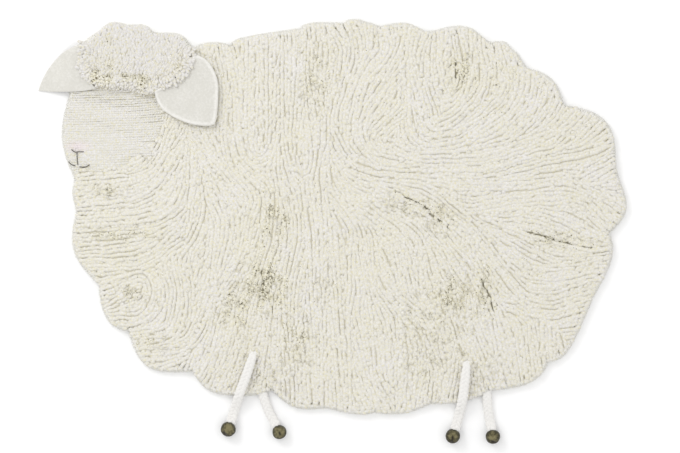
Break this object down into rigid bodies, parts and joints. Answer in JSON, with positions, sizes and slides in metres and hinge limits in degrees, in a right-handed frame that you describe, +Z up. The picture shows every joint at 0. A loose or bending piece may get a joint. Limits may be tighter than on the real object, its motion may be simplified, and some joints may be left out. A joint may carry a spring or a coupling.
{
  "type": "animal shaped kids rug",
  "caption": "Sheep-shaped tufted wool floor rug with a scalloped fleece, low-pile face, taller topknot, felt ears, plaited cord legs and felt ball feet.",
  "frame": {"origin": "middle of the bounding box at floor level", "axes": "+X from the sheep's head towards its tail, +Y towards its back, +Z up from the floor"},
  "size_m": [1.0012, 0.7224, 0.0253],
  "materials": {
    "fleece": "cream wool pile, matt",
    "ear_felt": "off-white wool felt, matt",
    "leg_cord": "white plaited cotton cord, matt",
    "foot_felt": "olive brown felted wool, matt"
  },
  "bodies": {
    "root": {"tufted_rug": "fleece", "ear_left": "ear_felt", "ear_right": "ear_felt", "leg_1": "leg_cord", "leg_2": "leg_cord", "leg_3": "leg_cord", "leg_4": "leg_cord", "foot_1": "foot_felt", "foot_2": "foot_felt", "foot_3": "foot_felt", "foot_4": "foot_felt"}
  },
  "joints": []
}
